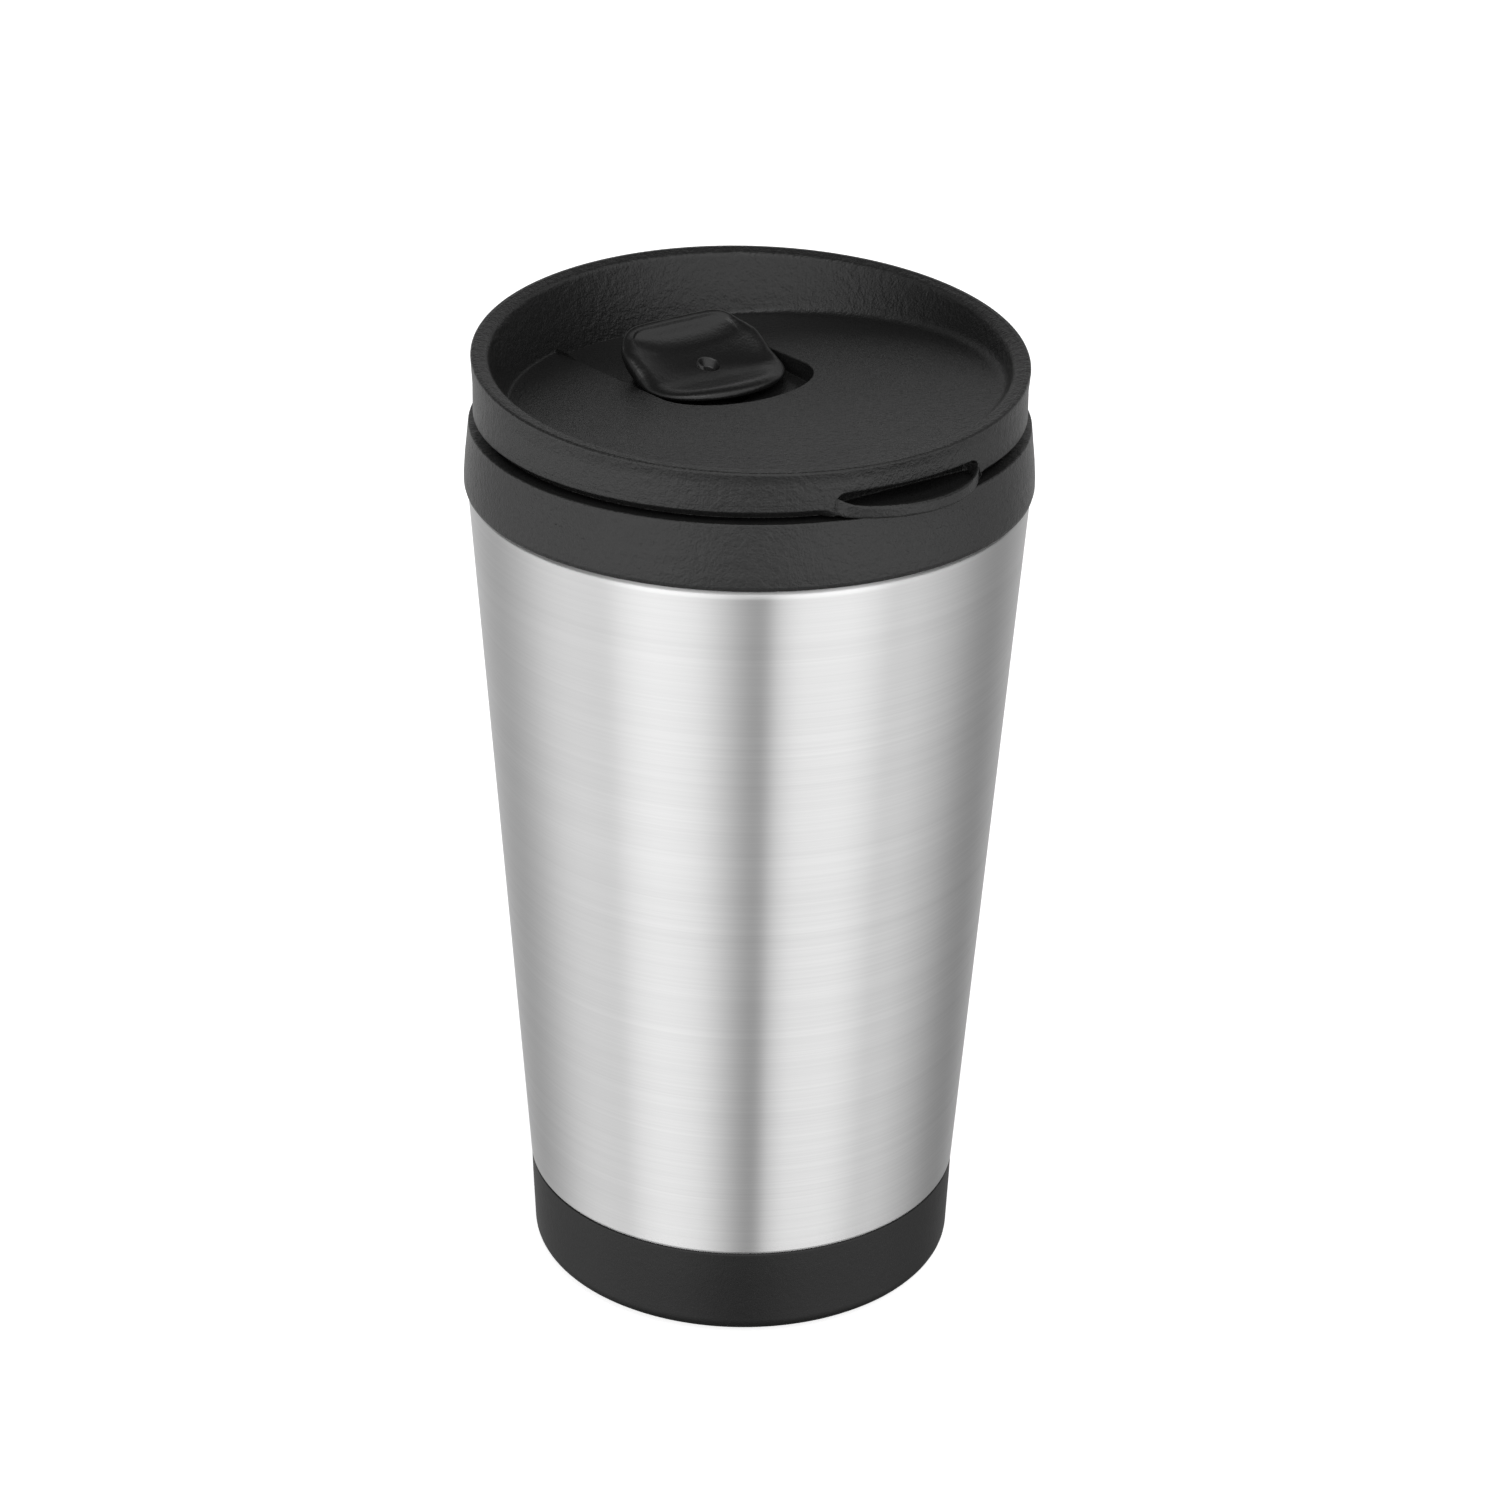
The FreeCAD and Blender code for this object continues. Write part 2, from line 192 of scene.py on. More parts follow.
class Graph:
    """Short forms for wiring the nodes of a material or of the world."""

    def __init__(self, owner, space="Object"):
        self.tree = owner.node_tree
        self.coord = self.node("ShaderNodeTexCoord").outputs[space]

    def node(self, kind, **values):
        made = self.tree.nodes.new(kind)
        for key, value in values.items():
            setattr(made, key, value)
        return made

    def link(self, a, b):
        self.tree.links.new(a, b)

    def stretched(self, scale):
        mapping = self.node("ShaderNodeMapping")
        mapping.inputs["Scale"].default_value = scale
        self.link(self.coord, mapping.inputs["Vector"])
        return mapping.outputs[0]

    def noise(self, vector, scale, detail=2.0, rough=0.5):
        made = self.node("ShaderNodeTexNoise")
        made.inputs["Scale"].default_value = scale
        made.inputs["Detail"].default_value = detail
        made.inputs["Roughness"].default_value = rough
        self.link(vector, made.inputs["Vector"])
        return made.outputs["Fac"]

    def ramp(self, fac, stops):
        made = self.node("ShaderNodeValToRGB")
        elements = made.color_ramp.elements
        while len(elements) < len(stops):
            elements.new(0.5)
        for element, (at, level) in zip(elements, stops):
            element.position = at
            element.color = (level, level, level, 1.0)
        self.link(fac, made.inputs["Fac"])
        return made.outputs["Color"]

    def math(self, kind, a, b=None):
        made = self.node("ShaderNodeMath", operation=kind)
        for socket, value in zip(made.inputs, (a, b)):
            if value is None:
                continue
            if isinstance(value, (int, float)):
                socket.default_value = value
            else:
                self.link(value, socket)
        return made.outputs[0]

    def remap(self, value, low, high, start=0.0, stop=1.0, kind="LINEAR"):
        """Maps start..stop to low..high."""
        made = self.node("ShaderNodeMapRange", interpolation_type=kind)
        for name, number in (("From Min", start), ("From Max", stop), ("To Min", low), ("To Max", high)):
            made.inputs[name].default_value = number
        self.link(value, made.inputs["Value"])
        return made.outputs[0]

    def average(self, a, b, share=0.5):
        """share of a and the rest of b."""
        return self.math("ADD", self.math("MULTIPLY", a, share), self.math("MULTIPLY", b, 1 - share))

    def bump(self, height, strength, distance, chain=None):
        made = self.node("ShaderNodeBump")
        made.inputs["Strength"].default_value = strength
        made.inputs["Distance"].default_value = distance
        self.link(height, made.inputs["Height"])
        if chain is not None:
            self.link(chain, made.inputs["Normal"])
        return made.outputs[0]


DUST_SCALE = 190           # specks of dust: cells per metre, size within a cell, colour
DUST_SIZE = 0.045
DUST_COLOUR = (0.16, 0.16, 0.16, 1)


def moulded_plastic(name, dark, light, rough_low, rough_high, grain, specks, ior):
    """Black plastic with a fine spark-eroded grain, faint flow marks and a few specks of dust. dark and
    light bound its tone, rough_low and rough_high its roughness, and more specks means less dust."""
    material, shader = new_material(name)
    g = Graph(material)
    fine = g.noise(g.coord, 2600, 3.0, 0.6)
    coarse = g.noise(g.coord, 900, 2.0, 0.5)
    cloud = g.noise(g.coord, 55, 3.0, 0.55)
    flow = g.noise(g.stretched((1, 1, 6)), 90, 2.0, 0.5)
    colour = g.ramp(g.average(cloud, fine, 0.55), [(0.35, dark), (0.65, light)])
    dust = g.node("ShaderNodeTexVoronoi", feature="F1")
    dust.inputs["Scale"].default_value = DUST_SCALE
    g.link(g.coord, dust.inputs["Vector"])
    picked = g.math("GREATER_THAN", g.noise(g.coord, 130, 1.0), 0.5 + specks)
    spot = g.math("LESS_THAN", dust.outputs["Distance"], DUST_SIZE)
    dusty = g.math("MULTIPLY", spot, picked)
    mix = g.node("ShaderNodeMix", data_type="RGBA")
    g.link(dusty, mix.inputs[0])
    g.link(colour, mix.inputs[6])
    mix.inputs[7].default_value = DUST_COLOUR
    g.link(mix.outputs[2], shader.inputs["Base Color"])
    g.link(g.remap(g.average(fine, flow), rough_low, rough_high), shader.inputs["Roughness"])
    bumps = g.bump(coarse, 0.35 * grain, 0.00012)
    bumps = g.bump(fine, 0.6 * grain, 0.00006, bumps)
    g.link(bumps, shader.inputs["Normal"])
    shader.inputs["IOR"].default_value = ior
    return material


def brushed_steel():
    """Stainless steel brushed round the mug: fine lines of varying depth, a few deeper scratches."""
    material, shader = new_material("brushed_steel_look")
    g = Graph(material)
    lines = g.noise(g.stretched((7, 7, 2600)), 1.0, 4.0, 0.65)
    broad = g.noise(g.stretched((5, 5, 420)), 1.0, 3.0, 0.6)
    cloud = g.noise(g.coord, 26, 3.0, 0.5)
    short = g.noise(g.stretched((120, 120, 3400)), 1.0, 1.0, 0.5)
    scratch = g.ramp(short, [(0.70, 0.0), (0.76, 1.0)])
    tone = g.average(lines, broad, 0.6)
    g.link(g.ramp(tone, [(0.3, 0.73), (0.7, 0.83)]), shader.inputs["Base Color"])
    g.link(g.remap(g.average(lines, cloud), 0.29, 0.39), shader.inputs["Roughness"])
    bumps = g.bump(lines, 0.10, 0.00002)
    bumps = g.bump(scratch, 0.12, 0.00001, bumps)
    g.link(bumps, shader.inputs["Normal"])
    shader.inputs["Metallic"].default_value = 1.0
    shader.inputs["Anisotropic"].default_value = 1.0
    shader.inputs["Anisotropic Rotation"].default_value = 0.25
    tangent = g.node("ShaderNodeTangent", direction_type="RADIAL", axis="Z")
    g.link(tangent.outputs[0], shader.inputs["Tangent"])
    return material


def drawn_steel():
    """The liner's duller, electropolished steel."""
    material, shader = new_material("liner_steel_look")
    g = Graph(material)
    rings = g.noise(g.stretched((4, 4, 700)), 1.0, 3.0, 0.6)
    cloud = g.noise(g.coord, 60, 4.0, 0.6)
    g.link(g.ramp(cloud, [(0.3, 0.56), (0.7, 0.66)]), shader.inputs["Base Color"])
    g.link(g.remap(g.average(rings, cloud), 0.2, 0.38), shader.inputs["Roughness"])
    g.link(g.bump(rings, 0.08, 0.00002), shader.inputs["Normal"])
    shader.inputs["Metallic"].default_value = 1.0
    return material


def rubber(name, dark, light):
    """Matt silicone, faintly blotchy."""
    material, shader = new_material(name)
    g = Graph(material)
    cloud = g.noise(g.coord, 120, 4.0, 0.6)
    fine = g.noise(g.coord, 1500, 2.0, 0.5)
    g.link(g.ramp(cloud, [(0.3, dark), (0.7, light)]), shader.inputs["Base Color"])
    g.link(g.remap(fine, 0.6, 0.8), shader.inputs["Roughness"])
    g.link(g.bump(fine, 0.25, 0.00005), shader.inputs["Normal"])
    return material


LID_PLASTIC = moulded_plastic("lid_plastic_look", 0.008, 0.012, 0.26, 0.36, 3.4, 0.16, 1.445)
BASE_PLASTIC = moulded_plastic("base_plastic_look", 0.004, 0.006, 0.38, 0.48, 0.8, 0.22, 1.42)
SLIDE_PLASTIC = moulded_plastic("slide_plastic_look", 0.006, 0.009, 0.26, 0.34, 1.0, 0.20, 1.47)
STEEL = brushed_steel()
LINER_STEEL = drawn_steel()
SEAL_RUBBER = rubber("seal_rubber_look", 0.10, 0.14)
PAD_RUBBER = rubber("pad_rubber_look", 0.02, 0.035)


# ---------------------------------------------------------------- turned pieces

STEEL_T = 0.6              # wall thickness of shell and liner
CONE_LOW = (34.42, 15.6)   # radius and height at the ends of the visible steel
CONE_TOP = (42.87, 132.3)
TAIL_R = 32.9              # the shell's tail, inside the base cup
TAIL_Z = 3.6
NECK_R = 41.1              # the shell's neck, inside the collar
NECK_Z = 140.6
BASE_TOP_Z = 15.3
MOUTH_R = 39.3             # inside of the liner
LINER_LOW_R = 30.6
LINER_FLOOR_Z = 9.0
LINER_WAIST_Z = 128.0      # the liner's mouth is upright above this
COLLAR_IN_R = 39.6
COLLAR_TOP_Z = 142.65
COLLAR_LOW_Z = 132.35
SEAL_TOP_Z = 141.75        # top of the flat seal under the collar
FOOT_RIM_Z = 0.3           # the base cup's foot stands clear of the table on its pad
PAD_R = 26.0
PAD_TOP_Z = 1.4
PAD_GROOVES = 6
PAD_GROOVE_R = 22.9        # outermost groove, and the step to the next
PAD_GROOVE_STEP = 3.4


def cone_radius(z):
    (low_r, low_z), (top_r, top_z) = CONE_LOW, CONE_TOP
    return low_r + (top_r - low_r) * (z - low_z) / (top_z - low_z)


def outer_shell():
    r = cone_radius
    top_z = CONE_TOP[1]
    in_r = TAIL_R - STEEL_T
    neck_in = NECK_R - STEEL_T
    under = top_z - STEEL_T
    corners = [(TAIL_R, TAIL_Z, 0.1), (TAIL_R, BASE_TOP_Z, 0.1), (34.15, BASE_TOP_Z, 0.05)]
    corners += [(34.45, 15.75, 0.15), (r(50), 50, 0), (r(90), 90, 0), (r(131.2), 131.2, 2.0)]
    corners += [(r(131.6) - 0.12, 131.75, 0.5), (42.25, top_z, 0.15), (NECK_R, top_z, 0.1)]
    corners += [(NECK_R, NECK_Z, 0.05), (neck_in, NECK_Z, 0.05), (neck_in, under, 0.1)]
    corners += [(42.0, under, 0.3), (33.85, 16.0, 0.3), (in_r, 15.9, 0.1), (in_r, TAIL_Z, 0.1)]
    return lathe_corners(corners)


def inner_liner():
    """Deep cup, whose lip is turned out over the shell's neck."""
    middle = ((LINER_LOW_R + MOUTH_R) / 2, 72.0)
    lip_z = NECK_Z + STEEL_T
    under = LINER_FLOOR_Z - STEEL_T
    corners = [(0.0, LINER_FLOOR_Z, 0), (22.0, LINER_FLOOR_Z, 0), (LINER_LOW_R, LINER_FLOOR_Z, 7.0)]
    corners += [(*middle, 0), (MOUTH_R, LINER_WAIST_Z, 8.0), (MOUTH_R, lip_z, 0.25)]
    corners += [(41.0, lip_z, 0.1), (41.0, NECK_Z, 0.1), (MOUTH_R + STEEL_T, NECK_Z, 0.2)]
    corners += [(MOUTH_R + STEEL_T, LINER_WAIST_Z, 8.0), (LINER_LOW_R + STEEL_T, under, 7.6)]
    corners += [(0.0, under, 0)]
    return lathe(rounded([((a, z), f) for a, z, f in corners], 8, 0.5), closed=False)


def collar_ring():
    bore = NECK_R + 0.05
    top = COLLAR_TOP_Z
    corners = [(bore, COLLAR_LOW_Z, 0.05), (42.75, COLLAR_LOW_Z, 0.2), (43.25, 132.55, 0.3)]
    corners += [(43.42, 133.2, 0.5), (43.4, 134.6, 2.0), (43.2, 137.3, 5.0), (42.86, 140.4, 5.0)]
    corners += [(42.62, top, 0.22), (42.2, top, 0.1), (41.0, top - 0.05, 0.3), (40.0, top - 0.05, 0.2)]
    corners += [(COLLAR_IN_R, 142.3, 0.1), (COLLAR_IN_R, SEAL_TOP_Z, 0.05), (bore, SEAL_TOP_Z, 0.05)]
    return lathe_corners(corners, steps=6)


def base_cup():
    """Cup round the shell's tail, with a shallow recess for the pad underneath."""
    bore = TAIL_R + 0.05
    floor_z = TAIL_Z - 0.04
    recess = PAD_R + 0.1
    corners = [(recess, FOOT_RIM_Z, 0.2), (33.8, FOOT_RIM_Z, 2.4), (34.25, 11.0, 8.0)]
    corners += [(34.38, BASE_TOP_Z, 0.3), (bore, BASE_TOP_Z, 0.15), (bore, floor_z, 0.1)]
    corners += [(1.0, floor_z, 0), (0.0, floor_z, 0)]
    top = rounded([((a, z), f) for a, z, f in corners], 8, 0.25)
    under = [((0.0, PAD_TOP_Z), 0), ((PAD_R - 0.1, PAD_TOP_Z), 0), ((recess, PAD_TOP_Z - 0.1), 0.05)]
    under += [((recess, FOOT_RIM_Z), 0)]
    return lathe(np.vstack([rounded(under, 2, 0.1), top[1:]]), closed=False)


def foot_pad():
    """Disc with shallow round grooves underneath."""
    corners = [((0.0, PAD_TOP_Z), 0), ((PAD_R, PAD_TOP_Z), 0.1), ((PAD_R, 0.0), 0.4), ((23.4, 0.0), 0.2)]
    for k in range(PAD_GROOVES):
        a = PAD_GROOVE_R - PAD_GROOVE_STEP * k
        corners += [((a + 0.3, 0.35), 0.15), ((a - 0.3, 0.35), 0.15)]
        corners += [((a - 0.7, 0.0), 0.2), ((a - 2.4, 0.0), 0.2)]
    corners += [((0.0, 0.0), 0)]
    return lathe(rounded(corners, 3, 0.1), 200, closed=False)


def lid_seal_ring():
    """Ring with two lips, in the groove of the lid's plug."""
    corners = [(37.12, 136.45, 0.1), (38.0, 136.45, 0.2), (39.0, 137.1, 0.15), (39.05, 137.4, 0.12)]
    corners += [(38.25, 137.45, 0.2), (38.25, 137.95, 0.2), (39.0, 138.5, 0.15), (39.05, 138.8, 0.12)]
    corners += [(38.1, 139.3, 0.2), (37.12, 139.35, 0.1)]
    return lathe_corners(corners, 4, 0.1)


make_object("SteelShell", outer_shell(), "mug_body", ["outer_shell"], STEEL)
make_object("SteelLiner", inner_liner(), "mug_body", ["inner_liner"], LINER_STEEL)
make_object("Collar", collar_ring(), "mug_body", ["collar_ring"], LID_PLASTIC)
make_object("BaseCup", base_cup(), "mug_body", ["base_cup"], BASE_PLASTIC)
make_object("FootPad", foot_pad(), "mug_body", ["foot_pad"], PAD_RUBBER)
make_object("LidSeal", lid_seal_ring(), "lid", ["lid_seal_ring"], SEAL_RUBBER)


# ---------------------------------------------------------------- lid

TRAY_R = 37.4              # tray floor circle, set off towards the tab
TRAY_Y = -1.3
TRAY_T = 2.0
TRAY_PLANE = (147.4, 0.0235, -0.054)    # height on the axis, rise along X and Y
RIM_PLANE = (152.93, 0.0225, 0.061)
RIM_IN_R = 39.6
LID_R = 42.15
WALL_R = 41.9
WALL_WAIST_Z = 148.8       # height below which the wall is upright
SLOT_Z = 144.5             # slot's floor, half width, rounded end
SLOT_HALF = 13.0
SLOT_END_Y = 4.6
SLOT_END_LEN = 10.2
SLOT_EDGE = 0.25           # rounding of the slot's upper edge
SLOT_FOOT = 0.15
SLOT_WALL = 1.8
HOLE = (6.5, 15.0, 19.4, 2.1)       # drinking hole: half width, Y from and to, corner
GUIDE = (2.2, 2.3, 13.2, 2.1)       # guide slot of the slide's leg
TUB_Z = 142.7              # underside of the tub that holds the slot, and how far back it reaches
TUB_REACH = 33.0
TAB_Y = -29.4              # centre and radius of the tab's outline
TAB_R = 16.7
TAB_SPAN = 34              # degrees to each side within which the tab's outline is worked out
TAB_FADE = (18.25, 15.9)   # degrees over which the tab runs out into the wall
POCKET_MID_Y = -27.0
POCKET_R = 18.0
POCKET_DEPTH_Y = 38.0
POCKET_END = 17.3          # bearing of the pocket's ends from the tab's middle, degrees
POCKET_HI = 146.4
POCKET_LO = 144.15
POCKET_MEET_Z = 145.75     # height at which roof and lip meet at the pocket's ends
TAB_HI = 145.0
TAB_LO = 143.0
WALL_LO = 144.05
STEP_R = 40.5              # recessed step over the collar
STEP_Z = 142.85
PLUG_R = 38.0              # skirt that enters the liner
PLUG_IN_R = 35.8
PLUG_LO = 133.5
GROOVE_R = 37.1            # groove for the seal ring
GROOVE_LO = 136.4
GROOVE_HI = 139.4
UNDER_R = 33.6             # inner end of the columns, under the tray


def plane_z(plane, x, y):
    height, rise_x, rise_y = plane
    return height + rise_x * x + rise_y * y


def rim_z(x, y):
    return plane_z(RIM_PLANE, x, y)


def tray_z(x, y):
    return plane_z(TRAY_PLANE, x, y)


def under_z(x, y):
    return tray_z(x, y) - TRAY_T


def share_of(a, b, t):
    """Where t stands from a to b, held within 0..1."""
    return min(1.0, max(0.0, (t - a) / (b - a)))


def smooth(a, b, t):
    u = share_of(a, b, t)
    return u * u * (3 - 2 * u)


def wall_foot(angle):
    """Radius at which the tray wall stands on the tray floor."""
    s = math.sin(angle)
    c = math.cos(angle)
    return TRAY_Y * s + math.sqrt(TRAY_R ** 2 - (TRAY_Y * c) ** 2)


def from_tab(angle):
    """Bearing from the tab's middle, in degrees."""
    return abs((math.degrees(angle) + 90 + 180) % 360 - 180)


def circle_reach(mid_y, radius, bearing):
    """Distance from the axis, at a bearing from the tab's middle, to a circle centred at mid_y."""
    root = math.sqrt(max(0.0, radius ** 2 - (mid_y * math.sin(bearing)) ** 2))
    return -mid_y * math.cos(bearing) + root


def lid_column(angle, base_x=None, base_z=None):
    """Outline of the lid at one angle, from the tray floor over the rim, down the wall and skirt to the
    underside. base_z is given where the wall stands on the slot floor instead of the tray floor."""
    c = math.cos(angle)
    s = math.sin(angle)

    def at(r, z):
        return np.array([r * c, r * s, z])

    foot_r = wall_foot(angle)
    fx = foot_r * c
    fy = foot_r * s
    foot_z = tray_z(fx, fy)
    rim_in = rim_z(RIM_IN_R * c, RIM_IN_R * s)
    lean = (RIM_IN_R - foot_r) / (rim_in - foot_z)
    level = foot_z if base_z is None else base_z
    r0 = foot_r + lean * (level - foot_z)
    foot = at(r0, level)
    back = smooth(30.0, 18.0, abs(fx)) if s > 0 else 0.0
    inward = np.array([-c * (1 - back), -s * (1 - back) - back, 0.0])
    inward = inward / np.linalg.norm(inward)
    start = foot + inward * 3.4
    if base_x is not None:
        start[0] = base_x
    if base_z is None:
        start[2] = tray_z(start[0], start[1])
    side = smooth(-0.2, 0.9, c)
    cove = 0.02 if base_z is not None else 0.5 + 1.4 * side * smooth(0.92, 0.6, s)

    # lift tab, and the finger pocket above it, which narrows towards its ends
    t = from_tab(angle)
    tr = math.radians(t)
    wall = WALL_R
    tab_r = 0.0
    if t < TAB_SPAN:
        tab_r = circle_reach(TAB_Y, TAB_R, tr)
        if tab_r > wall:
            tab_r = wall + (tab_r - wall) * smooth(*TAB_FADE, t)
    lip_in = wall
    if t < POCKET_END:
        lip_in = max(circle_reach(POCKET_MID_Y, POCKET_R, tr), wall)
    lip_end = POCKET_MEET_Z - 0.03
    roof_end = POCKET_MEET_Z + 0.03
    drop = share_of(POCKET_END - 2.0, POCKET_END, t) ** 2
    lift = share_of(POCKET_END - 4.5, POCKET_END, t) ** 2
    open_share = math.sqrt(1 - share_of(POCKET_END - 0.8, POCKET_END, t) ** 2)
    lip_top = TAB_HI + (lip_end - TAB_HI) * lift
    roof = POCKET_HI + (roof_end - POCKET_HI) * drop
    deep = wall - 0.01 + (POCKET_DEPTH_Y / max(math.cos(tr), 0.5) - wall) * open_share
    floor_lo = lip_top - 0.02 + (POCKET_LO - lip_top) * open_share
    if t >= POCKET_END:
        lip_top = TAB_HI + (lip_end - TAB_HI) * smooth(18.6, POCKET_END, t)
        floor_lo = lip_top + 0.01
        roof = lip_top + 0.05
    rim_out = rim_z(LID_R * c, LID_R * s)
    corners = [(start, 0), (foot, cove), (at(RIM_IN_R, rim_in - 0.3), 1.3)]
    corners += [(at(LID_R - 0.95, rim_out - 0.06), 0.1), (at(LID_R - 0.85, rim_out), 0.1)]
    corners += [(at(LID_R, rim_out), 0.38), (at(wall - 0.03, WALL_WAIST_Z), 6.0)]
    corners += [(at(wall, roof), 0.3), (at(deep, roof), 0.25), (at(deep, floor_lo), 0.25)]
    if tab_r > wall + 0.005:
        corners += [(at(lip_in, floor_lo), 0.2), (at(lip_in, lip_top), 0.22)]
        corners += [(at(tab_r, lip_top), 0.4), (at(tab_r, 144.1), 0.0), (at(tab_r, TAB_LO), 0.45)]
    else:
        low_r = max(tab_r, STEP_R + 0.02)
        corners += [(at(wall, 145.1), 0.1), (at(wall, 144.8), 0.1)]
        corners += [(at(wall - 0.02, WALL_LO), 0.3), (at(low_r + 0.5, WALL_LO), 0.1)]
        corners += [(at(low_r, TAB_LO), 0.1)]
    corners += [(at(STEP_R, TAB_LO - 0.02), 0.02), (at(STEP_R, STEP_Z), 0.2), (at(PLUG_R, STEP_Z), 0.25)]
    corners += [(at(PLUG_R, GROOVE_HI), 0.1), (at(GROOVE_R, GROOVE_HI), 0.1), (at(GROOVE_R, GROOVE_LO), 0.1)]
    corners += [(at(PLUG_R, GROOVE_LO), 0.15), (at(PLUG_R, PLUG_LO + 1.1), 0.8)]
    corners += [(at(PLUG_R - 0.6, PLUG_LO), 0.3), (at(PLUG_IN_R, PLUG_LO), 0.3)]
    corners += [(at(r, under_z(r * c, r * s)), f) for r, f in ((PLUG_IN_R, 0.8), (UNDER_R, 0))]
    return rounded(corners, 5, 0.2)


def slot_section():
    """Cross-section of the slot's side as (offset outwards, kind, amount): the amount is a drop below the
    tray floor where the kind is top, and a rise over the slot floor where it is low."""
    rows = []
    for a in quarter_turn(5):
        rows.append((SLOT_EDGE * (1 - math.sin(a)), "top", SLOT_EDGE * (1 - math.cos(a))))
    for a in quarter_turn(4):
        rows.append((-SLOT_FOOT * (1 - math.cos(a)), "low", SLOT_FOOT * (1 - math.sin(a))))
    return rows


def column_plan():
    """Angles of the lid's columns, going round from the slot's +X side to its -X side and back."""
    def angle_at(x):
        return math.atan2(TRAY_Y + math.sqrt(TRAY_R ** 2 - x * x), x)

    start = angle_at(SLOT_HALF + SLOT_EDGE)
    stop = math.pi - start
    outer = []
    a = start
    while a > stop - 2 * math.pi:
        outer.append(a)
        t = from_tab(a)
        step = 1.5
        if t < 24:
            step = 0.35
        if POCKET_END - 1.4 < t < POCKET_END + 1.2:
            step = 0.1
        a -= math.radians(step)
    if outer[-1] - (stop - 2 * math.pi) < math.radians(0.2):
        outer.pop()
    outer.append(stop - 2 * math.pi)
    return outer, angle_at


def oval_point(half, mid_y, reach, a):
    """Point and outward normal of an ellipse in plan."""
    nx = math.cos(a) / half
    ny = math.sin(a) / reach
    size = math.hypot(nx, ny)
    return (half * math.cos(a), mid_y + reach * math.sin(a)), (nx / size, ny / size)


def slot_outline(y_end):
    """Plan points and outward normals of the slot, from its +X side round the front to its -X side."""
    pts = []
    for y in np.linspace(y_end, SLOT_END_Y, 12)[:-1]:
        pts.append(((SLOT_HALF, y), (1.0, 0.0)))
    for k in range(73):
        pts.append(oval_point(SLOT_HALF, SLOT_END_Y, SLOT_END_LEN, -math.pi * k / 72))
    for y in np.linspace(SLOT_END_Y, y_end, 12)[1:]:
        pts.append(((-SLOT_HALF, y), (-1.0, 0.0)))
    return pts


def round_rect(half_x, y0, y1, radius, grow, steps=8):
    """Points of a rounded rectangle in plan, grown outwards."""
    out = []
    centres = [(half_x - radius, y1 - radius, 0), (-half_x + radius, y1 - radius, 90)]
    centres += [(-half_x + radius, y0 + radius, 180), (half_x - radius, y0 + radius, 270)]
    for cx, cy, a0 in centres:
        for k in range(steps + 1):
            a = math.radians(a0 + 90 * k / steps)
            out.append((cx + (radius + grow) * math.cos(a), cy + (radius + grow) * math.sin(a)))
    return out


def hole_strip(bm, shape, z_top, z_low, edge=0.3):
    """Walls of an upright hole with rounded edges; gives back its upper and lower loops."""
    turns = quarter_turn(4)
    rows = [(edge * (1 - math.sin(a)), z_top - edge * (1 - math.cos(a))) for a in turns]
    rows += [(edge * (1 - math.cos(a)), z_low + edge * (1 - math.sin(a))) for a in turns]
    made = [add_row(bm, [(x, y, z) for x, y in round_rect(*shape, grow)]) for grow, z in rows]
    skin(bm, made, wrap_cols=True)
    return made[0], made[-1]


def lid_body():
    bm = bmesh.new()
    outer, angle_at = column_plan()
    columns = [lid_column(a) for a in outer]
    section = slot_section()
    sides = []
    for offset, kind, amount in section[1:]:
        x = SLOT_HALF + offset
        a = angle_at(x)
        foot_r = wall_foot(a)
        top = tray_z(foot_r * math.cos(a), foot_r * math.sin(a))
        z = top - amount if kind == "top" else SLOT_Z + amount
        sides.append((a, x, z))
    y_end = float(columns[0][0][1])
    # columns that stand on the slot floor, between its two sides
    middle = []
    for x in np.linspace(SLOT_HALF - SLOT_FOOT, -(SLOT_HALF - SLOT_FOOT), 27)[1:-1]:
        middle.append((angle_at(float(x)), float(x), SLOT_Z))
    left = [(math.pi - a, -x, z) for a, x, z in sides]
    inner_plan = left + middle[::-1] + sides[::-1]
    inner_columns = [lid_column(a, x, z) for a, x, z in inner_plan]
    rows = [add_row(bm, pts) for pts in columns + inner_columns]
    skin(bm, rows, wrap_rows=True)

    # tray floor and slot
    count = len(columns)
    ring = [row[0] for row in rows]
    floor_ring = ring[:count]
    left_edge = ring[count:count + len(sides)]
    slot_ring = ring[count + len(sides):len(ring) - len(sides)]
    right_edge = ring[len(ring) - len(sides):]
    plan = slot_outline(y_end)
    strip = []
    for index, (offset, kind, amount) in enumerate(section):
        line = []
        for (x, y), (nx, ny) in plan[1:-1]:
            px = x + nx * offset
            py = y + ny * offset
            z = tray_z(px, py) - amount if kind == "top" else SLOT_Z + amount
            line.append(bm.verts.new((px, py, z)))
        if index == 0:
            line = [floor_ring[0]] + line + [floor_ring[-1]]
        else:
            line = [right_edge[len(sides) - index]] + line + [left_edge[index - 1]]
        strip.append(line)
    skin(bm, strip)
    fill_loops(bm, [(floor_ring, False), (strip[0], False)])

    # slot floor with the drinking hole and the guide slot
    hole_top, hole_low = hole_strip(bm, HOLE, SLOT_Z, TUB_Z)
    guide_top, guide_low = hole_strip(bm, GUIDE, SLOT_Z, TUB_Z)
    floor_edge = [left_edge[-1]] + slot_ring + [right_edge[0]]
    fill_loops(bm, [(floor_edge, False), (strip[-1], False), (hole_top, True), (guide_top, True)])

    # underside, with the tub that holds the slot
    tub_low = add_tub(bm, [row[-1] for row in rows])
    fill_loops(bm, [(tub_low, True), (hole_low, True), (guide_low, True)])
    return bm


